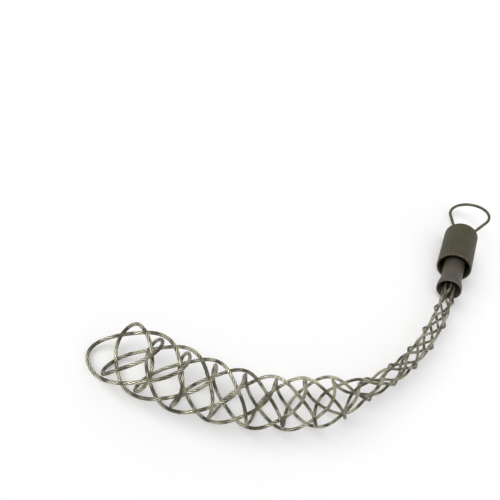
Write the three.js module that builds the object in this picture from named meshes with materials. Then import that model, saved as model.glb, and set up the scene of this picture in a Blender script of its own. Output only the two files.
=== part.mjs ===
// Cable pulling grip: a sock of woven wire rope that closes on a cable as the eye at its head is pulled.
// Millimetres, +Z up. The head points along +X and the sock bows to one side, all of it lying on the floor.
import * as THREE from 'three';

// Ropes
const STRAND_D = 1.9;            // strand of the sock
const EYE_D = 2.5;               // rope of the pulling eye
const GAP = 0.3;                 // clearance between pieces that touch

// Weave
const WIRES = 3;                 // each is folded in two at the open end, so twice as many strands go round
const RINGS = 26;                // rings of crossings along the sock
const NECK_MESH = 15;            // strand length from one crossing to the next, in the neck
const GRIP_MESH = 17.3;          // and on the cable
const BIGHT = 0.5;               // roundness of the fold, in rings
const START_ANGLE = 0.6;         // of the first fold round the sock, in radians
const STEPS = 5;                 // steps along a strand from one crossing to the next

// Mean radius of the weave, and where it changes, as distances back from the bell mouth
const NECK_R = 4.9;
const GRIP_R = 12.8;
const OPEN_R = 14.4;
const WEAVE_FROM = -3;           // the strands run straight inside the bell mouth up to here
const NECK_FROM = 40;            // and fan out up to here
const TAPER_FROM = 140;          // the neck widens to the cable from here
const GRIP_FROM = 190;
const FLARE_FROM = 225;          // the open end spreads from here
const FLARE_TO = 305;
const SLANT = 8;                 // how far the open end reaches out on its long side, and is held back opposite
const SLANT_ANGLE = 4.7;         // of the long side round the sock, in radians

// Bow of the centreline behind the bell mouth, as arcs one after another: length and radius
const BOW = [[175, 242], [Infinity, 205]];
const RISE_FROM = 60;            // the centreline leaves the height of the head here

// Ferrule
const FERRULE_R = 8;
const FERRULE_LENGTH = 62;
const MOUTH_R = 9.4;             // outer radius of the bell mouth
const MOUTH_LENGTH = 12;
const MOUTH_WALL = 0.8;

// Nose sleeve
const SLEEVE_R = 13.4;
const SLEEVE_LENGTH = 44.5;
const NOSE_WALL = 9.7;           // thickness of its end wall, which seats on the ferrule
const SLEEVE_WALL = 1.6;
const SKIRT_DEPTH = 18;          // how far it is hollow round the ferrule
const SLEEVE_EDGE = 2;           // rounding of the nose face and of the bottom of the hollow
const HOLE_R = 7.4;              // hole in the nose face

// Pulling eye
const EYE_R = 16.4;              // radius of the loop
const EYE_REACH = 32;            // from the nose face to the middle of the loop
const EYE_LEAN = 0.09;           // of the loop to one side, in radians
const EYE_TURN = 0.7;            // of the loop's plane about the pull axis, in radians
const EYE_BEND = 9;              // bend radius where a leg leaves the ferrule
const EYE_TAIL = 40;             // length of a leg inside the ferrule

// Derived
const WEAVE = (STRAND_D + GAP) / 2;                   // swing of a strand past the one that it crosses
const LEG = (EYE_D + GAP) / 2;                        // each leg of the eye from the pull axis
const BUNDLE_R = LEG + EYE_D / 2 + GAP + STRAND_D / 2; // strands in the ferrule, round those legs
const BORE_R = BUNDLE_R + STRAND_D / 2 + GAP;
const SEAT = FERRULE_LENGTH + GAP;                    // the end wall's inner face, ahead of the bell mouth
const NOSE = SEAT + NOSE_WALL;
const SLEEVE_FROM = NOSE - SLEEVE_LENGTH;
const TURN_PER_RING = Math.PI / WIRES;

const steel = new THREE.MeshStandardMaterial({ color: 0x9a957c, roughness: 0.4, metalness: 0.9 });
const olive = new THREE.MeshStandardMaterial({ color: 0x504c40, roughness: 0.55, metalness: 0.5 });

const { smoothstep } = THREE.MathUtils;

function meanRadius(back) {
  return BUNDLE_R
    + (NECK_R - BUNDLE_R) * smoothstep(back, WEAVE_FROM, NECK_FROM)
    + (GRIP_R - NECK_R) * smoothstep(back, TAPER_FROM, GRIP_FROM)
    + (OPEN_R - GRIP_R) * smoothstep(back, FLARE_FROM, FLARE_TO);
}

// Height of the centreline: the nose sleeve and the wide part of the sock both rest on the floor.
function height(back) {
  const restingSock = meanRadius(Math.max(back, GRIP_FROM)) + WEAVE + STRAND_D / 2;
  return SLEEVE_R + (restingSock - SLEEVE_R) * smoothstep(back, RISE_FROM, GRIP_FROM);
}

// The point at a radius and an angle round the centreline, a distance back from the bell mouth.
function around(straightBack, radius, angle) {
  const slant = SLANT * smoothstep(straightBack, FLARE_FROM, FLARE_TO) * Math.cos(angle - SLANT_ANGLE);
  const back = straightBack + slant * radius / OPEN_R;
  let x = -Math.min(back, 0);
  let y = 0;
  let heading = 0;
  let left = Math.max(back, 0);
  for (const [length, bend] of BOW) {
    const next = heading + Math.min(left, length) / bend;
    x -= bend * (Math.sin(next) - Math.sin(heading));
    y += bend * (Math.cos(heading) - Math.cos(next));
    left = Math.max(left - length, 0);
    heading = next;
  }
  const side = radius * Math.cos(angle);
  return new THREE.Vector3(
    x + side * Math.sin(heading), y + side * Math.cos(heading), height(back) + radius * Math.sin(angle));
}

// Turn made by a strand round the sock by the time it has passed a number of rings. It levels off in the
// ferrule.
function turned(ring) {
  const past = THREE.MathUtils.clamp(ring - RINGS, 0, 1);
  return TURN_PER_RING * (Math.min(ring, RINGS) + past - past * past / 2);
}

// Where each step of the weave lies, back from the bell mouth. A wide weave takes more of a strand to go round
// and leaves less of it to go along, so the rings are closer together on the cable than in the neck.
function layOut() {
  const last = (RINGS + 1) * STEPS;
  const backs = new Array(last + 1);
  backs[last] = WEAVE_FROM;
  for (let i = last - 1; i >= 0; i--) {
    const round = meanRadius(backs[i + 1]) * (turned((i + 1) / STEPS) - turned(i / STEPS));
    const mesh = THREE.MathUtils.lerp(NECK_MESH, GRIP_MESH, smoothstep(backs[i + 1], TAPER_FROM, GRIP_FROM));
    backs[i] = backs[i + 1] + Math.sqrt((mesh / STEPS) ** 2 - round ** 2);
  }
  return backs;
}
const backs = layOut();

function backAt(ring) {
  const i = Math.min(Math.floor(ring * STEPS), backs.length - 2);
  return THREE.MathUtils.lerp(backs[i], backs[i + 1], ring * STEPS - i);
}

// Swing of a strand out of the mean radius: none at the fold, full at each crossing, none in the ferrule.
function swing(ring) {
  if (ring < 1) return -WEAVE * Math.sin(ring * Math.PI / 2);
  if (ring < RINGS) return WEAVE * Math.cos(ring * Math.PI);
  return WEAVE * Math.cos(RINGS * Math.PI) * (1 + Math.cos((ring - RINGS) * Math.PI)) / 2;
}

// One wire of the sock, from one tail in the ferrule down to its fold and back up the other way round.
class Strand extends THREE.Curve {
  constructor(foldAngle) {
    super();
    this.foldAngle = foldAngle;
    const end = RINGS + 1;
    this.stations = [-end - 1];
    for (let i = -end * STEPS; i <= end * STEPS; i++) {
      this.stations.push(i / STEPS);
      if (i >= -STEPS && i < STEPS) this.stations.push((i + 0.5) / STEPS);
    }
    this.stations.push(end + 1);
  }

  // The station is counted in rings from the fold and is negative on the way down.
  getPoint(t) {
    const at = t * (this.stations.length - 1);
    const i = Math.min(Math.floor(at), this.stations.length - 2);
    const station = THREE.MathUtils.lerp(this.stations[i], this.stations[i + 1], at - i);
    const ring = Math.min(Math.abs(station), RINGS + 1);
    const tail = (Math.abs(station) - ring) * (FERRULE_LENGTH + WEAVE_FROM - GAP);
    const back = backAt(Math.hypot(ring, BIGHT)) - tail;
    const way = Math.sign(station);
    return around(back, meanRadius(back) + way * swing(ring), this.foldAngle + way * turned(ring));
  }

  // Even steps in t, so that a step falls on each crossing.
  getUtoTmapping(u) {
    return u;
  }
}

// The rope of the eye: up out of the ferrule, round the loop and back, in the loop's own plane.
function eyePath() {
  const middle = new THREE.Vector2(
    NOSE + EYE_REACH * Math.cos(EYE_LEAN), EYE_REACH * Math.sin(EYE_LEAN));
  const arc = (centre, radius, from, to, steps) => Array.from({ length: steps + 1 }, (_, i) => {
    const angle = THREE.MathUtils.lerp(from, to, i / steps);
    return new THREE.Vector2(centre.x + radius * Math.cos(angle), centre.y + radius * Math.sin(angle));
  });
  const leg = (side) => {
    const bend = new THREE.Vector2(FERRULE_LENGTH, side * (LEG + EYE_BEND));
    const across = middle.clone().sub(bend);
    const slope = Math.atan2(across.y, across.x) + side * Math.asin((EYE_BEND + EYE_R) / across.length());
    const straight = new THREE.Vector2(FERRULE_LENGTH - EYE_TAIL, side * LEG);
    return { slope, points: [straight, ...arc(bend, EYE_BEND, -side * Math.PI / 2, slope - side * Math.PI / 2, 5)] };
  };
  const right = leg(1);
  const left = leg(-1);
  const loop = arc(middle, EYE_R, right.slope + Math.PI / 2, left.slope - Math.PI / 2, 24);
  return [...right.points, ...loop, ...left.points.reverse()].map((p) => new THREE.Vector3(
    p.x, -p.y * Math.cos(EYE_TURN), SLEEVE_R + p.y * Math.sin(EYE_TURN)));
}

// A curve through points, with one step from each point to the next.
class Through extends THREE.CatmullRomCurve3 {
  getUtoTmapping(u) {
    return u;
  }
}

function rope(name, curve, steps, diameter, sides) {
  const section = new THREE.Shape(new THREE.EllipseCurve(0, 0, diameter / 2, diameter / 2).getPoints(sides));
  const geometry = new THREE.ExtrudeGeometry(section, { steps, extrudePath: curve, curveSegments: 1 });
  return named(name, geometry, steel);
}

// A body turned on the pull axis, from its closed profile of [distance ahead of the bell mouth, radius].
function turnedBody(name, profile) {
  const points = [...profile, profile[0]].map(([x, r]) => new THREE.Vector2(r, x));
  const geometry = new THREE.LatheGeometry(points, 48).rotateZ(-Math.PI / 2).translate(0, 0, SLEEVE_R);
  return named(name, geometry, olive);
}

function named(name, geometry, material) {
  const mesh = new THREE.Mesh(geometry, material);
  mesh.name = name;
  return mesh;
}

// A rounded corner or lip of a profile: the arc about [x, r], in degrees from the +X direction.
function rounding(x, r, radius, from, to, steps = 4) {
  return Array.from({ length: steps + 1 }, (_, i) => {
    const angle = THREE.MathUtils.degToRad(THREE.MathUtils.lerp(from, to, i / steps));
    return [x + radius * Math.cos(angle), r + radius * Math.sin(angle)];
  });
}

// A swelling line between two radii of a profile, level at both ends.
function blend(x0, r0, x1, r1, steps = 6) {
  return Array.from({ length: steps + 1 }, (_, i) => {
    const t = i / steps;
    return [THREE.MathUtils.lerp(x0, x1, t), THREE.MathUtils.lerp(r0, r1, smoothstep(t, 0, 1))];
  });
}

function ferrule() {
  const lip = MOUTH_WALL / 2;
  return turnedBody('ferrule', [
    ...rounding(lip, MOUTH_R - lip, lip, 270, 90),
    ...blend(MOUTH_LENGTH / 4, MOUTH_R, MOUTH_LENGTH, FERRULE_R),
    ...rounding(FERRULE_LENGTH - 1, FERRULE_R - 1, 1, 90, 0, 2),
    [FERRULE_LENGTH, BORE_R],
    [MOUTH_LENGTH, BORE_R],
    [MOUTH_LENGTH * 0.75, BORE_R + (MOUTH_R - MOUTH_WALL - BORE_R) * 0.12],
    [MOUTH_LENGTH * 0.4, BORE_R + (MOUTH_R - MOUTH_WALL - BORE_R) * 0.6],
  ]);
}

function noseSleeve() {
  const lip = SLEEVE_WALL / 2;
  const bore = FERRULE_R + GAP;
  const skirtEnd = SLEEVE_FROM + SKIRT_DEPTH;
  const throat = LEG + EYE_D / 2 + GAP;
  return turnedBody('nose_sleeve', [
    ...rounding(SLEEVE_FROM + lip, SLEEVE_R - lip, lip, 270, 90),
    ...rounding(NOSE - SLEEVE_EDGE, SLEEVE_R - SLEEVE_EDGE, SLEEVE_EDGE, 90, 0),
    [NOSE, HOLE_R],
    [SEAT, throat],
    [SEAT, bore],
    [skirtEnd, bore],
    ...rounding(skirtEnd - SLEEVE_EDGE, SLEEVE_R - SLEEVE_WALL - SLEEVE_EDGE, SLEEVE_EDGE, 0, 90),
  ]);
}

const grip = new THREE.Group();
for (let i = 0; i < WIRES; i++) {
  const strand = new Strand(START_ANGLE + i * 2 * Math.PI / WIRES);
  grip.add(rope(`strand_${i + 1}`, strand, strand.stations.length - 1, STRAND_D, 6));
}
const eye = eyePath();
grip.add(rope('eye_rope', new Through(eye), eye.length - 1, EYE_D, 10), ferrule(), noseSleeve());

// The origin is put on the floor under the middle of the whole grip.
const extent = new THREE.Box3().setFromObject(grip, true);
const group = new THREE.Group();
grip.position.set(-(extent.min.x + extent.max.x) / 2, -(extent.min.y + extent.max.y) / 2, -extent.min.z);
group.add(grip);
export default group;
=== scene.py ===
"""Looks of a cable pulling grip: laid wire ropes, coated ferrule and nose sleeve, pale floor, soft light.

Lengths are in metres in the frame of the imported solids, with the pull axis along X and the floor at Z = 0.
The sizes of the pieces and of the ropes' routes are in millimetres, as the solids are drawn.
"""

import logging
import math
from collections.abc import Callable, Sequence
from dataclasses import dataclass
from enum import Enum

import bmesh
import bpy
from mathutils import Matrix, Vector
from mathutils.kdtree import KDTree


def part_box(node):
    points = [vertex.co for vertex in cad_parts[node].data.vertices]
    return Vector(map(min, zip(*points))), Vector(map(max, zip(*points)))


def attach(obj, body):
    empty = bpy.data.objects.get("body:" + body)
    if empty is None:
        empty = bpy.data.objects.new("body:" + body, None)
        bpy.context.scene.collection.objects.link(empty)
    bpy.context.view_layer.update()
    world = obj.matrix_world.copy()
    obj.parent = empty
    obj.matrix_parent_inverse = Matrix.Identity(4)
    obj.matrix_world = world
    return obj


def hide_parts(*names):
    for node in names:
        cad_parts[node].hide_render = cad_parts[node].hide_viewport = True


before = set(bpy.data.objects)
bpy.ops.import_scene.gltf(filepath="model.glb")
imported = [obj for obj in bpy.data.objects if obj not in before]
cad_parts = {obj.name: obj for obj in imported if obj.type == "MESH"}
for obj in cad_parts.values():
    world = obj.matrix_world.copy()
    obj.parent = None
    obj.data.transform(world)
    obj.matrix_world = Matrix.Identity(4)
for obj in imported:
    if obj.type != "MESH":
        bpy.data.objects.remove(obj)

LOG = logging.getLogger("pulling_grip")
MM = 0.001
BODY = "root"
MERGE = 1e-7  # vertices nearer to each other than this, in metres, are one
ON_RING = 0.01  # a vertex nearer to a ring than this, in millimetres, lies on it

Color = tuple[float, float, float, float]
NamedSockets = dict[str, bpy.types.NodeSocket]


class Lay(Enum):
    """Which way the wires of a rope are laid round its core."""

    RIGHT = 1
    LEFT = -1


class Socket(Enum):
    """Kinds of socket that a shader node group carries."""

    COLOR = "NodeSocketColor"
    VALUE = "NodeSocketFloat"
    VECTOR = "NodeSocketVector"


def smoothstep(value: float, low: float, high: float) -> float:
    """A smooth step from 0 at low to 1 at high.

    Args:
        value: Where it is read.
        low: Value at which it leaves 0.
        high: Value at which it reaches 1.

    Returns:
        The step, from 0 to 1.
    """
    share = min(max((value - low) / (high - low), 0.0), 1.0)
    return share * share * (3 - 2 * share)


def lerp(a: float, b: float, share: float) -> float:
    """The value a share of the way from a to b."""
    return a + (b - a) * share


def unit(angle: float) -> Vector:
    """The flat vector one long at an angle."""
    return Vector((math.cos(angle), math.sin(angle)))


def in_scene(name: str, data: bpy.types.ID) -> bpy.types.Object:
    """Puts a mesh, a curve, a lamp or a camera in the scene.

    Args:
        name: The object's name.
        data: What the object shows.

    Returns:
        The new object.
    """
    made = bpy.data.objects.new(name, data)
    bpy.context.scene.collection.objects.link(made)
    return made


# Node groups and finishes


class Shader:
    """A node tree that is written from left to right, with a short call for each node."""

    def __init__(self, tree: bpy.types.NodeTree) -> None:
        """Starts from an empty tree.

        Args:
            tree: The tree of a material, a world or a node group.
        """
        self.tree = tree
        tree.nodes.clear()

    def node(self, kind: str, settings: dict[str, object] | None = None, **inputs: object) -> bpy.types.Node:
        """Adds a node, sets its options and fills its sockets.

        Args:
            kind: The node's type name.
            settings: Options of the node itself.
            **inputs: A value or an output for each input, by its name with underscores for spaces.

        Returns:
            The new node.
        """
        made = self.tree.nodes.new(kind)
        for name, value in (settings or {}).items():
            setattr(made, name, value)
        for name, value in inputs.items():
            self.fill(made.inputs[name.replace("_", " ")], value)
        return made

    def fill(self, socket: bpy.types.NodeSocket, value: object) -> None:
        """Links an output to a socket, or writes a plain value in it.

        Args:
            socket: The input to fill.
            value: An output or a plain value.
        """
        if isinstance(value, bpy.types.NodeSocket):
            self.tree.links.new(value, socket)
        else:
            socket.default_value = value

    def mix(self, share: object, a: object, b: object) -> bpy.types.NodeSocket:
        """Mixes two colours.

        Args:
            share: How much of b there is.
            a: First colour.
            b: Second colour.

        Returns:
            The mixed colour.
        """
        made = self.tree.nodes.new("ShaderNodeMix")
        made.data_type = "RGBA"
        for index, value in ((0, share), (6, a), (7, b)):
            self.fill(made.inputs[index], value)
        return made.outputs[2]

    def math(self, operation: str, a: object, b: object) -> bpy.types.NodeSocket:
        """Combines two values by one operation, held between 0 and 1.

        Args:
            operation: The operation's name.
            a: First value.
            b: Second value.

        Returns:
            The result.
        """
        made = self.tree.nodes.new("ShaderNodeMath")
        made.operation = operation
        made.use_clamp = True
        self.fill(made.inputs[0], a)
        self.fill(made.inputs[1], b)
        return made.outputs[0]

    def plain_math(self, operation: str, a: object, b: object) -> bpy.types.NodeSocket:
        """Combines two values by one operation, at any size.

        Args:
            operation: The operation's name.
            a: First value.
            b: Second value.

        Returns:
            The result.
        """
        result = self.math(operation, a, b)
        result.node.use_clamp = False
        return result

    def blend(self, share: float, a: object, b: object) -> bpy.types.NodeSocket:
        """Adds a share of one value to the rest of another.

        Args:
            share: How much of a there is.
            a: First value.
            b: Second value.

        Returns:
            The sum.
        """
        return self.math("ADD", self.math("MULTIPLY", a, share), self.math("MULTIPLY", b, 1.0 - share))

    def spread(
        self, value: object, low: float, high: float, to_low: float = 0.0, to_high: float = 1.0
    ) -> bpy.types.NodeSocket:
        """Spreads a stretch of a value over another stretch, held at its ends.

        Args:
            value: The value.
            low: Where its stretch starts.
            high: Where its stretch ends.
            to_low: What the start becomes.
            to_high: What the end becomes.

        Returns:
            The spread value.
        """
        made = self.node("ShaderNodeMapRange", {"clamp": True}, Value=value)
        for name, number in (("From Min", low), ("From Max", high), ("To Min", to_low), ("To Max", to_high)):
            made.inputs[name].default_value = number
        return made.outputs["Result"]

    def noise(self, place: object, scale: object, detail: float = 3.0) -> bpy.types.NodeSocket:
        """A noise value at a place."""
        return self.node("ShaderNodeTexNoise", None, Vector=place, Scale=scale, Detail=detail).outputs["Fac"]

    def attribute(self, name: str, output: str = "Fac") -> bpy.types.NodeSocket:
        """What a piece's own attribute says at a place."""
        return self.node("ShaderNodeAttribute", {"attribute_name": name}).outputs[output]

    def object_place(self) -> bpy.types.NodeSocket:
        """The place on the piece."""
        return self.node("ShaderNodeTexCoord").outputs["Object"]


class SurfaceEffect:
    """A shader node group that is built once and placed in each material with its own values."""

    def __init__(
        self,
        name: str,
        takes: dict[str, tuple[Socket, object]],
        gives: dict[str, Socket],
        body: Callable[[Shader, NamedSockets], NamedSockets],
    ) -> None:
        """Makes the group's sockets and its nodes.

        Args:
            name: The group's name.
            takes: Kind and default value of each input.
            gives: Kind of each output.
            body: Makes the nodes from the inputs and returns what goes to each output.
        """
        self.group = bpy.data.node_groups.new(name, "ShaderNodeTree")
        shader = Shader(self.group)
        for label, (kind, value) in takes.items():
            socket = self.group.interface.new_socket(label, in_out="INPUT", socket_type=kind.value)
            socket.default_value = value
        for label, kind in gives.items():
            self.group.interface.new_socket(label, in_out="OUTPUT", socket_type=kind.value)
        start = self.group.nodes.new("NodeGroupInput")
        end = self.group.nodes.new("NodeGroupOutput")
        made = body(shader, {label: start.outputs[label] for label in takes})
        for label, output in made.items():
            self.group.links.new(output, end.inputs[label])

    def place(self, shader: Shader, **values: object) -> NamedSockets:
        """Puts the group in a material.

        Args:
            shader: The material's tree.
            **values: A value or an output for each input, by its name with underscores for spaces.

        Returns:
            The group's outputs by name.
        """
        made = shader.tree.nodes.new("ShaderNodeGroup")
        made.node_tree = self.group
        for name, value in values.items():
            shader.fill(made.inputs[name.replace("_", " ")], value)
        return {output.name: output for output in made.outputs}


def tarnish_body(shader: Shader, takes: NamedSockets) -> NamedSockets:
    """Blotches of a dull colour over a bright one, from broad stains down to fine specks.

    Args:
        shader: The group's tree.
        takes: Inputs Bright, Dull, Amount and Size.

    Returns:
        Outputs Color and Mask, where the mask is 1 on the dull colour.
    """
    place = shader.object_place()
    sized = shader.node("ShaderNodeVectorMath", {"operation": "SCALE"}, Scale=takes["Size"])
    shader.fill(sized.inputs[0], place)
    broad = shader.noise(sized.outputs["Vector"], 1.0, 4.0)
    fine = shader.noise(sized.outputs["Vector"], 9.0, 3.0)
    blotches = shader.spread(shader.blend(0.7, broad, fine), 0.38, 0.62)
    mask = shader.math("MULTIPLY", blotches, takes["Amount"])
    return {"Color": shader.mix(mask, takes["Bright"], takes["Dull"]), "Mask": mask}


def grain_body(shader: Shader, takes: NamedSockets) -> NamedSockets:
    """A fine unevenness of a surface, with pits in it.

    Args:
        shader: The group's tree.
        takes: Input Size, the grains along a metre.

    Returns:
        Output Height.
    """
    place = shader.object_place()
    fine = shader.noise(place, takes["Size"], 3.0)
    pit_size = shader.plain_math("MULTIPLY", takes["Size"], 0.3)
    pits = shader.spread(shader.noise(place, pit_size, 2.0), 0.3, 0.42)
    return {"Height": shader.blend(0.6, fine, pits)}


def fine_wires_body(shader: Shader, takes: NamedSockets) -> NamedSockets:
    """The fine wires that each wire bundle of a rope is made of, which lie along the rope.

    Args:
        shader: The group's tree.
        takes: Inputs Around, the direction from the rope's line in a frame that doesn't turn with the lay,
            and Count, the fine wires all round the rope.

    Returns:
        Output Height, which is 1 on a fine wire's crown and 0 between two.
    """
    parts = shader.node("ShaderNodeSeparateXYZ", None, Vector=takes["Around"])
    angle = shader.plain_math("ARCTAN2", parts.outputs["Y"], parts.outputs["X"])
    wave = shader.plain_math("COSINE", shader.plain_math("MULTIPLY", angle, takes["Count"]), 0.0)
    return {"Height": shader.spread(wave, -1.0, 1.0)}


def streaks_body(shader: Shader, takes: NamedSockets) -> NamedSockets:
    """Streaks that are drawn along the pull axis.

    Args:
        shader: The group's tree.
        takes: Input Size, the streaks across a metre.

    Returns:
        Output Height, from 0 to 1 across the streaks.
    """
    drawn_out = (0.045, 1.0, 1.0)
    along = shader.node("ShaderNodeVectorMath", {"operation": "MULTIPLY"})
    shader.fill(along.inputs[0], shader.object_place())
    shader.fill(along.inputs[1], drawn_out)
    return {"Height": shader.noise(along.outputs["Vector"], takes["Size"], 4.0)}


def wear_body(shader: Shader, takes: NamedSockets) -> NamedSockets:
    """Chips and rubbed places that gather at an edge.

    Args:
        shader: The group's tree.
        takes: Inputs Edge, which is 1 at the edge, and Size, the chips along a metre.

    Returns:
        Output Mask, which is 1 where the coat has gone.
    """
    chips = shader.noise(shader.object_place(), takes["Size"], 4.0)
    return {"Mask": shader.math("MULTIPLY", takes["Edge"], shader.spread(chips, 0.42, 0.6))}


class Effects:
    """The node groups that the finishes share."""

    def __init__(self) -> None:
        """Builds each group once."""
        color, value, vector = Socket.COLOR, Socket.VALUE, Socket.VECTOR
        grey = (0.5, 0.5, 0.5, 1.0)
        self.tarnish = SurfaceEffect(
            "tarnish",
            {"Bright": (color, grey), "Dull": (color, grey), "Amount": (value, 1.0), "Size": (value, 100.0)},
            {"Color": color, "Mask": value},
            tarnish_body,
        )
        self.grain = SurfaceEffect("grain", {"Size": (value, 1000.0)}, {"Height": value}, grain_body)
        self.fine_wires = SurfaceEffect(
            "fine_wires",
            {"Around": (vector, (1.0, 0.0, 0.0)), "Count": (value, 28.0)},
            {"Height": value},
            fine_wires_body,
        )
        self.streaks = SurfaceEffect("streaks", {"Size": (value, 900.0)}, {"Height": value}, streaks_body)
        self.wear = SurfaceEffect(
            "wear", {"Edge": (value, 0.0), "Size": (value, 700.0)}, {"Mask": value}, wear_body
        )


@dataclass(frozen=True)
class RopeFinish:
    """Galvanised wire dulled to olive, lighter on the crowns of its wires and near black between them. The
    light crowns are partly real rubbing and partly a painted highlight, and the dark grooves are painted
    shade.

    The sizes of stains, grain and patches are counts along a metre, and the relief's depth is in metres.
    """

    name: str
    # bright is the painted highlight colour on the wires' crowns, partly real rubbing of the zinc and partly
    # painted glint.
    bright: Color
    body: Color
    dull: Color
    # groove is painted shade: the near-black colour put in the grooves between the wires.
    groove: Color
    # How far the crowns go to the bright colour: partly real rubbing, partly painted highlight.
    rubbed_highlight: float
    roughness: float
    fine_wires: float = 28.0
    stain: float = 0.9
    stain_size: float = 120.0
    grain_size: float = 2600.0
    patch_size: float = 160.0
    relief: float = 0.5
    relief_depth: float = 0.00006
    gloss: float = 0.3

    def make(self, effects: Effects) -> bpy.types.Material:
        """Makes the material.

        Args:
            effects: The shared node groups.

        Returns:
            The material, which reads the rope's own crown and around attributes.
        """
        material = bpy.data.materials.new(self.name)
        material.use_nodes = True
        shader = Shader(material.node_tree)
        stained = effects.tarnish.place(
            shader, Bright=self.body, Dull=self.dull, Amount=self.stain, Size=self.stain_size)
        wires = effects.fine_wires.place(
            shader, Around=shader.attribute("around", "Vector"), Count=self.fine_wires)["Height"]
        grain = effects.grain.place(shader, Size=self.grain_size)["Height"]
        crown = shader.attribute("crown")
        patches = shader.spread(shader.noise(shader.object_place(), self.patch_size), 0.42, 0.58, 0.15)
        # Painted highlight: the wires' crowns, in patches and most on the fine wires' crowns, are mixed
        # towards the bright colour; part is real rubbing, part stands in for glints of light.
        rub_and_highlight = shader.math("MULTIPLY", shader.spread(crown, 0.72, 0.98, 0.0, self.rubbed_highlight), patches)
        rub_and_highlight = shader.math("MULTIPLY", rub_and_highlight, shader.spread(wires, 0.0, 0.6, 0.4))
        # Painted shade: towards the grooves between the wires, and between the fine wires, the colour goes
        # to the near-black groove colour.
        open_face = shader.math(
            "MULTIPLY", shader.spread(crown, 0.1, 0.65), shader.spread(wires, 0.0, 0.5, 0.5))
        color = shader.mix(rub_and_highlight, shader.mix(open_face, self.groove, stained["Color"]), self.bright)
        bump = shader.node(
            "ShaderNodeBump",
            None,
            Height=shader.blend(0.8, wires, grain),
            Strength=self.relief,
            Distance=self.relief_depth,
        )
        surface = shader.node(
            "ShaderNodeBsdfPrincipled",
            None,
            Base_Color=color,
            Metallic=shader.spread(rub_and_highlight, 0.0, 0.7, 0.12),
            Roughness=shader.spread(rub_and_highlight, 0.0, 1.0, self.roughness, self.roughness * 0.6),
            Specular_IOR_Level=self.gloss,
            Normal=bump.outputs["Normal"],
        )
        shader.node("ShaderNodeOutputMaterial", None, Surface=surface.outputs["BSDF"])
        return material


@dataclass(frozen=True)
class CoatFinish:
    """A dark olive coating over metal, blotched, drawn along the pull axis and worn at its rims.

    Stains, streaks, grain and chips are counted along a metre, and the relief's depth is in metres.
    """

    name: str
    coat: Color
    faded: Color
    worn: Color
    roughness: float
    stain: float = 0.8
    stain_size: float = 90.0
    streak_size: float = 900.0
    grain_size: float = 1800.0
    chip_size: float = 700.0
    relief: float = 0.35
    relief_depth: float = 0.0001
    gloss: float = 0.3

    def make(self, effects: Effects) -> bpy.types.Material:
        """Makes the material.

        Args:
            effects: The shared node groups.

        Returns:
            The material, which reads the piece's own rim attribute.
        """
        material = bpy.data.materials.new(self.name)
        material.use_nodes = True
        shader = Shader(material.node_tree)
        blotched = effects.tarnish.place(
            shader, Bright=self.coat, Dull=self.faded, Amount=self.stain, Size=self.stain_size)
        streaks = effects.streaks.place(shader, Size=self.streak_size)["Height"]
        grain = effects.grain.place(shader, Size=self.grain_size)["Height"]
        wear = effects.wear.place(shader, Edge=shader.attribute("rim"), Size=self.chip_size)["Mask"]
        streaked = shader.mix(shader.spread(streaks, 0.45, 0.7, 0.0, 0.35), blotched["Color"], self.faded)
        color = shader.mix(wear, streaked, self.worn)
        bump = shader.node(
            "ShaderNodeBump",
            None,
            Height=shader.blend(0.7, grain, streaks),
            Strength=self.relief,
            Distance=self.relief_depth,
        )
        surface = shader.node(
            "ShaderNodeBsdfPrincipled",
            None,
            Base_Color=color,
            Metallic=shader.math("MULTIPLY", wear, 0.8),
            Roughness=shader.spread(streaks, 0.3, 0.7, self.roughness - 0.06, self.roughness + 0.1),
            Specular_IOR_Level=self.gloss,
            Normal=bump.outputs["Normal"],
        )
        shader.node("ShaderNodeOutputMaterial", None, Surface=surface.outputs["BSDF"])
        return material


# Routes of the ropes


@dataclass(frozen=True)
class Head:
    """Where the pull axis is: the bell mouth's place on X, and the axis's places on Y and Z, in metres."""

    mouth: float
    side: float
    height: float

    @classmethod
    def of_solids(cls) -> "Head":
        """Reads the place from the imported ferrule."""
        low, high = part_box("ferrule")
        return cls(low.x, (low.y + high.y) / 2, (low.z + high.z) / 2)

    def placed(self, point: Vector) -> Vector:
        """A point ahead of the bell mouth in millimetres, with Z from the floor, as metres in the frame."""
        return Vector((self.mouth + point.x * MM, self.side + point.y * MM, point.z * MM))


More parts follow.
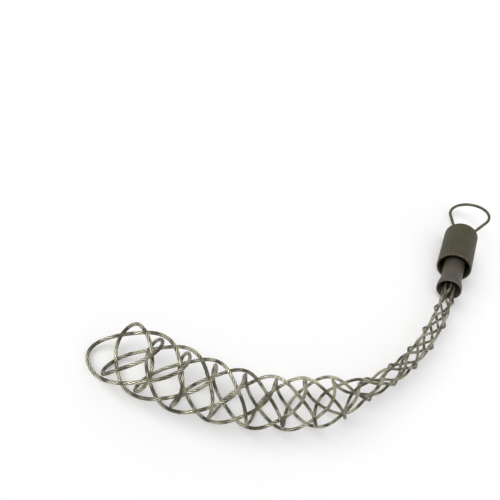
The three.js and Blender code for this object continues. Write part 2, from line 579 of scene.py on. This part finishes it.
@dataclass(frozen=True)
class Weave:
    """The woven sock's sizes in millimetres and radians, as distances back from the bell mouth.

    A mesh is the length of strand from one ring of crossings to the next, steps divide it, and bight, the
    roundness of the fold, is in rings.
    """

    wires: int = 3
    rings: int = 26
    neck_mesh: float = 15.0
    grip_mesh: float = 17.3
    bight: float = 0.5
    start_angle: float = 0.6
    steps: int = 5
    strand: float = 1.9
    gap: float = 0.3
    bundle: float = 3.9
    neck: float = 4.9
    grip: float = 12.8
    opened: float = 14.4
    weave_from: float = -3.0
    neck_from: float = 40.0
    taper_from: float = 140.0
    grip_from: float = 190.0
    flare_from: float = 225.0
    flare_to: float = 305.0
    slant: float = 8.0
    slant_angle: float = 4.7
    rise_from: float = 60.0
    bow: tuple[tuple[float, float], ...] = ((175.0, 242.0), (math.inf, 205.0))
    ferrule: float = 62.0

    @property
    def full_swing(self) -> float:
        """The swing of a strand past the one that it crosses."""
        return (self.strand + self.gap) / 2

    def radius(self, back: float) -> float:
        """The mean radius of the weave.

        Args:
            back: Distance back from the bell mouth.

        Returns:
            The radius there.
        """
        return (
            self.bundle
            + (self.neck - self.bundle) * smoothstep(back, self.weave_from, self.neck_from)
            + (self.grip - self.neck) * smoothstep(back, self.taper_from, self.grip_from)
            + (self.opened - self.grip) * smoothstep(back, self.flare_from, self.flare_to)
        )

    def around(self, back: float, radius: float, angle: float, head: float) -> Vector:
        """A point round the centreline.

        Args:
            back: Distance back from the bell mouth.
            radius: Distance from the centreline.
            angle: Angle round it.
            head: Height of the pull axis.

        Returns:
            The point, ahead of the bell mouth and over the floor.
        """
        flared = smoothstep(back, self.flare_from, self.flare_to)
        back += self.slant * flared * math.cos(angle - self.slant_angle) * radius / self.opened
        x, y, heading, left = -min(back, 0.0), 0.0, 0.0, max(back, 0.0)
        for length, bend in self.bow:
            turned = heading + min(left, length) / bend
            x -= bend * (math.sin(turned) - math.sin(heading))
            y += bend * (math.cos(heading) - math.cos(turned))
            left = max(left - length, 0.0)
            heading = turned
        resting = self.radius(max(back, self.grip_from)) + self.full_swing + self.strand / 2
        height = head + (resting - head) * smoothstep(back, self.rise_from, self.grip_from)
        side = radius * math.cos(angle)
        return Vector(
            (x + side * math.sin(heading), y + side * math.cos(heading), height + radius * math.sin(angle))
        )

    def turned(self, ring: float) -> float:
        """The turn that a strand has made round the sock by a ring; it levels off in the ferrule."""
        past = min(max(ring - self.rings, 0.0), 1.0)
        return math.pi / self.wires * (min(ring, self.rings) + past - past * past / 2)

    def laid_out(self) -> list[float]:
        """Where each step of the weave lies, back from the bell mouth, from the open end on.

        Returns:
            The distances.
        """
        last = (self.rings + 1) * self.steps
        backs = [self.weave_from] * (last + 1)
        for i in range(last - 1, -1, -1):
            here = backs[i + 1]
            round_it = self.radius(here) * (self.turned((i + 1) / self.steps) - self.turned(i / self.steps))
            mesh = lerp(self.neck_mesh, self.grip_mesh, smoothstep(here, self.taper_from, self.grip_from))
            backs[i] = here + math.sqrt((mesh / self.steps) ** 2 - round_it**2)
        return backs

    def swing(self, ring: float) -> float:
        """How far a strand swings out of the mean radius: full at each crossing, none at its ends.

        Args:
            ring: How many rings of crossings the strand has passed from its fold.

        Returns:
            The swing outwards.
        """
        if ring < 1:
            return -self.full_swing * math.sin(ring * math.pi / 2)
        if ring < self.rings:
            return self.full_swing * math.cos(ring * math.pi)
        fading = (1 + math.cos((ring - self.rings) * math.pi)) / 2
        return self.full_swing * math.cos(self.rings * math.pi) * fading

    def route(self, wire: int, head: Head, per_ring: int = 16) -> list[Vector]:
        """The line of one wire, from one tail in the ferrule, round its fold and back to the other.

        Args:
            wire: Which wire, from 0.
            head: Where the pull axis is.
            per_ring: Points from one ring of crossings to the next.

        Returns:
            The points in metres in the frame.
        """
        backs = self.laid_out()
        fold = self.start_angle + wire * 2 * math.pi / self.wires
        end = (self.rings + 1) * per_ring
        points = []
        for i in range(-end - 1, end + 2):
            ring = min(abs(i), end) / per_ring
            step = math.hypot(ring, self.bight) * self.steps
            low = min(int(step), len(backs) - 2)
            back = lerp(backs[low], backs[low + 1], step - low)
            if abs(i) > end:
                back -= self.ferrule + self.weave_from - self.gap
            way = (i > 0) - (i < 0)
            radius = self.radius(back) + way * self.swing(ring)
            point = self.around(back, radius, fold + way * self.turned(ring), head.height / MM)
            points.append(head.placed(point))
        return points


@dataclass(frozen=True)
class EyeLoop:
    """The pulling eye's sizes in millimetres and radians, ahead of the bell mouth."""

    rope: float = 2.5
    gap: float = 0.3
    ferrule: float = 62.0
    nose: float = 72.0
    radius: float = 16.4
    reach: float = 32.0
    lean: float = 0.09
    turn: float = 0.7
    bend: float = 9.0
    tail: float = 40.0
    bend_steps: int = 16
    loop_steps: int = 96

    def arc(self, centre: Vector, radius: float, start: float, end: float, steps: int) -> list[Vector]:
        """Points of an arc in the loop's plane, from one angle to another."""
        return [centre + radius * unit(lerp(start, end, i / steps)) for i in range(steps + 1)]

    def route(self, head: Head) -> list[Vector]:
        """The line of the rope, out of the ferrule, round the loop and back.

        Args:
            head: Where the pull axis is.

        Returns:
            The points in metres in the frame.
        """
        middle = Vector((self.nose, 0.0)) + self.reach * unit(self.lean)
        leg = (self.rope + self.gap) / 2
        slopes, legs = {}, {}
        for side in (1, -1):
            bend = Vector((self.ferrule, side * (leg + self.bend)))
            across = middle - bend
            off_line = math.asin((self.bend + self.radius) / across.length)
            slope = math.atan2(across.y, across.x) + side * off_line
            straight = Vector((self.ferrule - self.tail, side * leg))
            start, end = -side * math.pi / 2, slope - side * math.pi / 2
            curve = self.arc(bend, self.bend, start, end, self.bend_steps)
            slopes[side], legs[side] = slope, [straight, *curve]
        start, end = slopes[1] + math.pi / 2, slopes[-1] - math.pi / 2
        loop = self.arc(middle, self.radius, start, end, self.loop_steps)
        flat = [*legs[1], *loop, *reversed(legs[-1])]
        aside, up = -math.cos(self.turn), math.sin(self.turn)
        return [head.placed(Vector((p.x, p.y * aside, head.height / MM + p.y * up))) for p in flat]


# Shapes that the pieces are made of


@dataclass
class LaidRope:
    """A rope of round wires laid about a core, swept along a route. Lengths are in metres."""

    name: str
    route: Sequence[Vector]
    diameter: float
    lay_length: float
    lay: Lay = Lay.RIGHT
    wires: int = 6
    steps_per_lay: int = 24
    corners_per_wire: int = 6

    def spaced(self) -> list[Vector]:
        """The route again, with its points evenly spaced along it.

        Returns:
            The points.
        """
        gap = self.lay_length / self.steps_per_lay
        points, walked = [self.route[0].copy()], 0.0
        for a, b in zip(self.route, self.route[1:]):
            length = (b - a).length
            while walked + length >= len(points) * gap:
                points.append(a.lerp(b, (len(points) * gap - walked) / length))
            walked += length
        return points

    def crown_at(self, angle: float) -> float:
        """The rope's radius at an angle from the crown of a wire.

        Args:
            angle: Angle from the crown of the nearest wire.

        Returns:
            The radius of the ring of wires there.
        """
        wire = self.diameter / 6  # a wire's radius, as two wires and the core lie across the rope
        circle = self.diameter / 2 - wire
        return circle * math.cos(angle) + math.sqrt(max(wire**2 - (circle * math.sin(angle)) ** 2, 0.0))

    def section(self) -> bpy.types.Object:
        """The closed outline of the wires' ring.

        Returns:
            The outline as a flat curve, which a line takes as its bevel.
        """
        corners = self.wires * self.corners_per_wire
        outline = bpy.data.curves.new(f"{self.name}_section", "CURVE")
        outline.dimensions = "2D"
        spline = outline.splines.new("POLY")
        spline.points.add(corners - 1)
        for i, point in enumerate(spline.points):
            angle = 2 * math.pi * i / corners
            off_crown = (angle + math.pi / self.wires) % (2 * math.pi / self.wires) - math.pi / self.wires
            point.co = (*(self.crown_at(off_crown) * unit(angle)), 0.0, 1.0)
        spline.use_cyclic_u = True
        return in_scene(outline.name, outline)

    def build(self) -> bpy.types.Object:
        """Sweeps the section along the route, turning it with the lay.

        Returns:
            The rope as a mesh, with its crown and around attributes.
        """
        points = self.spaced()
        line = bpy.data.curves.new(f"{self.name}_line", "CURVE")
        line.dimensions = "3D"
        line.twist_mode = "MINIMUM"
        line.bevel_mode = "OBJECT"
        line.use_fill_caps = True
        section = self.section()
        line.bevel_object = section
        spline = line.splines.new("POLY")
        spline.points.add(len(points) - 1)
        for i, (point, place) in enumerate(zip(spline.points, points)):
            point.co = (*place, 1.0)
            point.tilt = self.lay.value * 2 * math.pi * i / self.steps_per_lay
        swept = in_scene(line.name, line)
        evaluated = swept.evaluated_get(bpy.context.evaluated_depsgraph_get())
        mesh = bpy.data.meshes.new_from_object(evaluated)
        mesh.name = self.name
        for scaffold in (swept, section):
            bpy.data.objects.remove(scaffold)
        self.close(mesh)
        self.mark(mesh, points)
        return in_scene(self.name, mesh)

    def close(self, mesh: bpy.types.Mesh) -> None:
        """Merges the sweep's seam, turns its faces outwards and shades it smooth.

        Args:
            mesh: The swept mesh.
        """
        work = bmesh.new()
        work.from_mesh(mesh)
        bmesh.ops.remove_doubles(work, verts=work.verts, dist=MERGE)
        bmesh.ops.recalc_face_normals(work, faces=work.faces)
        for face in work.faces:
            face.smooth = True
        work.to_mesh(mesh)
        work.free()

    def untwisted(self, points: Sequence[Vector]) -> list[tuple[Vector, Vector]]:
        """Two directions across the line at each point, which turn about it as little as they can.

        Args:
            points: The evenly spaced route.

        Returns:
            The two directions at each point.
        """
        ahead = [(b - a).normalized() for a, b in zip(points, points[1:])]
        side = ahead[0].orthogonal()
        across = []
        for direction in [*ahead, ahead[-1]]:
            side = (side - side.dot(direction) * direction).normalized()
            across.append((side, direction.cross(side)))
        return across

    def mark(self, mesh: bpy.types.Mesh, points: Sequence[Vector]) -> None:
        """Writes where each vertex lies on the rope.

        The crown attribute is 1 on the wires' crowns and 0 between them. The around attribute is the
        direction from the rope's line, in a frame that doesn't turn with the lay.

        Args:
            mesh: The rope's mesh.
            points: The evenly spaced route.
        """
        tree = KDTree(len(points))
        for i, point in enumerate(points):
            tree.insert(point, i)
        tree.balance()
        across = self.untwisted(points)
        groove, crown = self.crown_at(math.pi / self.wires), self.diameter / 2
        crowns, around = [], []
        for vertex in mesh.vertices:
            centre, index, reach = tree.find(vertex.co)
            offset = (vertex.co - centre) / reach
            crowns.append((reach - groove) / (crown - groove))
            around += (offset.dot(across[index][0]), offset.dot(across[index][1]), 0.0)
        mesh.attributes.new("crown", "FLOAT", "POINT").data.foreach_set("value", crowns)
        mesh.attributes.new("around", "FLOAT_VECTOR", "POINT").data.foreach_set("vector", around)


@dataclass
class TurnedBody:
    """An outline turned on the pull axis, in millimetres ahead of the bell mouth and from the axis."""

    name: str
    outline: Sequence[tuple[float, float]]
    rounded: Sequence[tuple[float, float, float]]
    rims: Sequence[tuple[float, float]]
    rim_reach: float = 2.5
    ring_gap: float = 3.0
    facets: int = 128
    bevel_steps: int = 5
    sharp_degrees: float = 40.0

    def ringed(self) -> list[tuple[float, float]]:
        """The outline with points added, so that no ring lies further from the next than the ring gap.

        Returns:
            The points.
        """
        points = []
        for (x, radius), (to_x, to_radius) in zip(self.outline, [*self.outline[1:], self.outline[0]]):
            steps = max(1, math.ceil(math.hypot(to_x - x, to_radius - radius) / self.ring_gap))
            points += [(lerp(x, to_x, i / steps), lerp(radius, to_radius, i / steps)) for i in range(steps)]
        return points

    def build(self, head: Head) -> bpy.types.Object:
        """Spins the outline, and rounds the edges at each place and width in rounded.

        Args:
            head: Where the pull axis is.

        Returns:
            The body as a mesh, with its rim attribute, which is 1 at the rims.
        """
        work = bmesh.new()
        corners = [work.verts.new((x * MM, 0.0, radius * MM)) for x, radius in self.ringed()]
        for a, b in zip(corners, [*corners[1:], corners[0]]):
            work.edges.new((a, b))
        bmesh.ops.spin(
            work,
            geom=[*work.verts, *work.edges],
            cent=(0.0, 0.0, 0.0),
            axis=(1.0, 0.0, 0.0),
            dvec=(0.0, 0.0, 0.0),
            angle=2 * math.pi,
            steps=self.facets,
            use_merge=True,
            use_duplicate=False,
        )
        bmesh.ops.remove_doubles(work, verts=work.verts, dist=MERGE)
        bmesh.ops.recalc_face_normals(work, faces=work.faces)
        for x, radius, width in self.rounded:
            ring = [edge for edge in work.edges if all(self.near(v.co, x, radius) for v in edge.verts)]
            bmesh.ops.bevel(
                work,
                geom=ring,
                offset=width * MM,
                offset_type="OFFSET",
                segments=self.bevel_steps,
                profile=0.5,
                affect="EDGES",
                clamp_overlap=True,
                material=-1,
            )
        bmesh.ops.recalc_face_normals(work, faces=work.faces)
        self.mark(work)
        bmesh.ops.translate(work, verts=work.verts, vec=(head.mouth, head.side, head.height))
        mesh = bpy.data.meshes.new(self.name)
        work.to_mesh(mesh)
        work.free()
        mesh.set_sharp_from_angle(angle=math.radians(self.sharp_degrees))
        return in_scene(self.name, mesh)

    def mark(self, work: bmesh.types.BMesh) -> None:
        """Writes the rim attribute and shades the body smooth.

        Args:
            work: The turned mesh, with the bell mouth at the origin.
        """
        rim = work.verts.layers.float.new("rim")
        for vertex in work.verts:
            x, radius = vertex.co.x / MM, math.hypot(vertex.co.y, vertex.co.z) / MM
            nearest = min(math.hypot(x - rim_x, radius - rim_radius) for rim_x, rim_radius in self.rims)
            vertex[rim] = 1.0 - smoothstep(nearest, 0.0, self.rim_reach)
        for face in work.faces:
            face.smooth = True

    @staticmethod
    def near(place: Vector, x: float, radius: float) -> bool:
        """Whether a vertex lies on the ring at a distance and a radius in millimetres."""
        return abs(place.x / MM - x) < ON_RING and abs(math.hypot(place.y, place.z) / MM - radius) < ON_RING


def put_on(piece: bpy.types.Object, finish: bpy.types.Material, node: str) -> None:
    """Gives a piece its finish and its place in the frame.

    Args:
        piece: The built piece.
        finish: Its material.
        node: The solid that it stands for.
    """
    piece.data.materials.append(finish)
    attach(piece, BODY)
    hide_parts(node)


# Sub-assemblies


@dataclass
class WovenSock:
    """The sock: wires folded in two at the open end, woven over and under each other."""

    weave: Weave = Weave()
    lay_length: float = 15.0

    def build(self, head: Head) -> list[bpy.types.Object]:
        """Builds each wire as a laid rope.

        Args:
            head: Where the pull axis is.

        Returns:
            The wires.
        """
        return [
            LaidRope(
                name=f"wire_rope_{wire + 1}",
                route=self.weave.route(wire, head),
                diameter=self.weave.strand * MM,
                lay_length=self.lay_length * MM,
            ).build()
            for wire in range(self.weave.wires)
        ]

    def dress(self, pieces: Sequence[bpy.types.Object], finish: bpy.types.Material) -> None:
        """Gives each wire its finish, in the place of its strand."""
        for wire, piece in enumerate(pieces):
            put_on(piece, finish, f"strand_{wire + 1}")


@dataclass
class PullingEye:
    """The pulling eye, one rope bent into a loop with both legs in the ferrule."""

    loop: EyeLoop = EyeLoop()
    lay_length: float = 18.0

    def build(self, head: Head) -> list[bpy.types.Object]:
        """Builds the rope.

        Args:
            head: Where the pull axis is.

        Returns:
            The rope alone.
        """
        rope = LaidRope(
            name="eye_wire_rope",
            route=self.loop.route(head),
            diameter=self.loop.rope * MM,
            lay_length=self.lay_length * MM,
            lay=Lay.LEFT,
        )
        return [rope.build()]

    def dress(self, pieces: Sequence[bpy.types.Object], finish: bpy.types.Material) -> None:
        """Gives the rope its finish."""
        put_on(pieces[0], finish, "eye_rope")


@dataclass
class Ferrule:
    """The pressed ferrule, a plain barrel with a bell mouth where the wires go in.

    Sizes are in millimetres. The throat narrows at shares of the bell's length and of its widening.
    """

    length: float = 62.0
    barrel: float = 8.0
    bore: float = 5.15
    bell: float = 9.4
    wall: float = 0.8
    bell_land: float = 3.0
    bell_length: float = 12.0
    swell_steps: int = 10
    throat: tuple[tuple[float, float], ...] = ((0.75, 0.12), (0.4, 0.6))
    lip_edge: float = 0.35
    end_edge: float = 0.9

    def build(self, head: Head) -> list[bpy.types.Object]:
        """Turns the ferrule: its lip, the swelling outside, the barrel, the bore and the throat.

        Args:
            head: Where the pull axis is.

        Returns:
            The ferrule alone.
        """
        lip = self.bell - self.wall
        swell = [
            (lerp(self.bell_land, self.bell_length, i / self.swell_steps),
             lerp(self.bell, self.barrel, smoothstep(i, 0, self.swell_steps)))
            for i in range(self.swell_steps + 1)
        ]
        throat = [(self.bell_length * along, lerp(self.bore, lip, wide)) for along, wide in self.throat]
        body = TurnedBody(
            name="ferrule_body",
            outline=[
                (0.0, lip),
                (0.0, self.bell),
                *swell,
                (self.length, self.barrel),
                (self.length, self.bore),
                (self.bell_length, self.bore),
                *throat,
            ],
            rounded=[
                (0.0, self.bell, self.lip_edge),
                (0.0, lip, self.lip_edge),
                (self.length, self.barrel, self.end_edge),
            ],
            rims=[(0.0, (self.bell + lip) / 2)],
        )
        return [body.build(head)]

    def dress(self, pieces: Sequence[bpy.types.Object], finish: bpy.types.Material) -> None:
        """Gives the ferrule its finish."""
        put_on(pieces[0], finish, "ferrule")


@dataclass
class NoseSleeve:
    """The nose sleeve, a cup that is open towards the sock and has a hole for the eye.

    Sizes are in millimetres, ahead of the bell mouth and from the pull axis.
    """

    tail: float = 27.5
    nose: float = 72.0
    radius: float = 13.4
    wall: float = 1.6
    skirt: float = 18.0
    bore: float = 8.3
    seat: float = 62.3
    throat: float = 2.95
    hole: float = 7.4
    nose_edge: float = 2.2
    rim_edge: float = 0.75
    hole_edge: float = 0.9
    hollow_edge: float = 2.0

    def build(self, head: Head) -> list[bpy.types.Object]:
        """Turns the sleeve.

        Args:
            head: Where the pull axis is.

        Returns:
            The sleeve alone.
        """
        inside = self.radius - self.wall
        skirt_end = self.tail + self.skirt
        body = TurnedBody(
            name="nose_sleeve_body",
            outline=[
                (self.tail, inside),
                (self.tail, self.radius),
                (self.nose, self.radius),
                (self.nose, self.hole),
                (self.seat, self.throat),
                (self.seat, self.bore),
                (skirt_end, self.bore),
                (skirt_end, inside),
            ],
            rounded=[
                (self.tail, self.radius, self.rim_edge),
                (self.tail, inside, self.rim_edge),
                (self.nose, self.radius, self.nose_edge),
                (self.nose, self.hole, self.hole_edge),
                (skirt_end, inside, self.hollow_edge),
            ],
            rims=[(self.tail, self.radius), (self.nose, self.radius), (self.nose, self.hole)],
        )
        return [body.build(head)]

    def dress(self, pieces: Sequence[bpy.types.Object], finish: bpy.types.Material) -> None:
        """Gives the sleeve its finish."""
        put_on(pieces[0], finish, "nose_sleeve")


# Studio


@dataclass(frozen=True)
class FloorFinish:
    """A matt floor that is near white to look at and mid grey as a source of bounced light."""

    name: str = "pale_floor"
    lit: Color = (0.5, 0.5, 0.5, 1.0)
    shown: Color = (0.85, 0.85, 0.85, 1.0)
    glow: float = 0.2

    def make(self) -> bpy.types.Material:
        """Makes the material.

        Returns:
            The material, whose glow is only for the camera, for gloss and for what is seen through glass.
        """
        material = bpy.data.materials.new(self.name)
        material.use_nodes = True
        shader = Shader(material.node_tree)
        seen = seen_rays(shader)
        surface = shader.node(
            "ShaderNodeBsdfPrincipled",
            None,
            Base_Color=shader.mix(seen, self.lit, self.shown),
            Roughness=1.0,
            Specular_IOR_Level=0.0,
            Emission_Color=(1.0, 1.0, 1.0, 1.0),
            Emission_Strength=shader.spread(seen, 0.0, 1.0, 0.0, self.glow),
        )
        shader.node("ShaderNodeOutputMaterial", None, Surface=surface.outputs["BSDF"])
        return material


def seen_rays(shader: Shader) -> bpy.types.NodeSocket:
    """Whether a ray comes from the camera, from gloss or through glass.

    Args:
        shader: The tree of the floor or of the sky.

    Returns:
        1 for such a ray and 0 for light.
    """
    path = shader.node("ShaderNodeLightPath").outputs
    seen = shader.math("ADD", path["Is Camera Ray"], path["Is Glossy Ray"])
    return shader.math("ADD", seen, path["Is Transmission Ray"])


@dataclass(frozen=True)
class Studio:
    """A pale floor, soft light from all round and one broad lamp far off, which lights the floor evenly."""

    floor_size: float = 6.0
    lamp_angle: float = 35.0
    lamp_strength: float = 2.1
    lamp_from: tuple[float, float, float] = (-1.1, 2.1, 1.8)
    fill: float = 0.55

    def floor(self) -> bpy.types.Object:
        """Lays the floor, which isn't part of the grip.

        Returns:
            The floor.
        """
        work = bmesh.new()
        bmesh.ops.create_grid(work, x_segments=1, y_segments=1, size=self.floor_size / 2)
        mesh = bpy.data.meshes.new("floor")
        work.to_mesh(mesh)
        work.free()
        floor = in_scene("floor", mesh)
        mesh.materials.append(FloorFinish().make())
        return floor

    def light(self) -> bpy.types.Object:
        """Makes the sky, which is white to look at and softer as a light, and hangs the lamp.

        Returns:
            The lamp.
        """
        world = bpy.data.worlds.new("studio")
        bpy.context.scene.world = world
        world.use_nodes = True
        shader = Shader(world.node_tree)
        strength = shader.spread(seen_rays(shader), 0.0, 1.0, self.fill, 1.0)
        sky = shader.node("ShaderNodeBackground", None, Color=(1.0, 1.0, 1.0, 1.0), Strength=strength)
        shader.node("ShaderNodeOutputWorld", None, Surface=sky.outputs["Background"])
        light = bpy.data.lights.new("soft_lamp", "SUN")
        light.angle = math.radians(self.lamp_angle)
        light.energy = self.lamp_strength
        lamp = in_scene("soft_lamp", light)
        lamp.location = self.lamp_from
        lamp.rotation_euler = (-Vector(self.lamp_from)).to_track_quat("-Z", "Y").to_euler()
        return lamp


@dataclass(frozen=True)
class Viewpoint:
    """The camera beyond the open end of the sock, looking down on the floor and rolled.

    Its place is in millimetres from the point of the floor under the bell mouth.
    """

    place: tuple[float, float, float] = (-394.5, 213.0, 279.5)
    ahead: tuple[float, float, float] = (0.7166, -0.1620, -0.6784)
    up: tuple[float, float, float] = (0.5929, 0.6536, 0.4703)
    lens: float = 46.8
    sensor: float = 36.0

    def set_up(self, head: Head) -> bpy.types.Object:
        """Makes the camera and makes it the scene's.

        Args:
            head: Where the pull axis is.

        Returns:
            The camera.
        """
        data = bpy.data.cameras.new("viewpoint")
        data.lens = self.lens
        data.sensor_width = self.sensor
        camera = in_scene("viewpoint", data)
        back = -Vector(self.ahead).normalized()
        right = Vector(self.up).cross(back).normalized()
        turned = Matrix((right, back.cross(right), back)).transposed().to_4x4()
        camera.matrix_world = Matrix.Translation(head.placed(Vector(self.place))) @ turned
        bpy.context.scene.camera = camera
        return camera


def main() -> None:
    """Builds and dresses the grip and sets up the studio."""
    logging.basicConfig(level=logging.INFO, format="%(name)s: %(message)s")
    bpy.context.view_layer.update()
    bpy.context.scene.view_settings.view_transform = "Standard"
    head = Head.of_solids()
    effects = Effects()
    dressed = (
        (
            WovenSock(),
            RopeFinish(
                name="olive_galvanised_strand",
                # bright and rubbed set the painted highlight on the wires' crowns, which is partly real
                # rubbing.
                bright=(0.92, 0.88, 0.68, 1.0),
                body=(0.074, 0.065, 0.028, 1.0),
                dull=(0.024, 0.021, 0.009, 1.0),
                # groove is the painted shade between the wires.
                groove=(0.005, 0.004, 0.002, 1.0),
                rubbed_highlight=1.0,
                roughness=0.42,
            ),
        ),
        (
            PullingEye(),
            RopeFinish(
                name="olive_galvanised_eye",
                # bright and rubbed set the painted highlight on the eye rope's crowns, which is partly real
                # rubbing.
                bright=(0.34, 0.31, 0.2, 1.0),
                body=(0.098, 0.087, 0.043, 1.0),
                dull=(0.048, 0.042, 0.02, 1.0),
                # groove is the painted shade between the eye rope's wires.
                groove=(0.01, 0.009, 0.005, 1.0),
                rubbed_highlight=0.6,
                roughness=0.48,
            ),
        ),
        (
            Ferrule(),
            CoatFinish(
                name="satin_olive_coat",
                coat=(0.052, 0.045, 0.033, 1.0),
                faded=(0.075, 0.066, 0.048, 1.0),
                worn=(0.16, 0.145, 0.105, 1.0),
                roughness=0.45,
            ),
        ),
        (
            NoseSleeve(),
            CoatFinish(
                name="matt_olive_coat",
                coat=(0.036, 0.032, 0.0135, 1.0),
                faded=(0.05, 0.045, 0.021, 1.0),
                worn=(0.13, 0.117, 0.075, 1.0),
                roughness=0.52,
            ),
        ),
    )
    for assembly, finish in dressed:
        pieces = assembly.build(head)
        assembly.dress(pieces, finish.make(effects))
        for piece in pieces:
            LOG.info("%s: %d faces", piece.name, len(piece.data.polygons))

    studio = Studio()
    studio.floor()
    studio.light()
    Viewpoint().set_up(head)


if __name__ == "__main__":
    main()
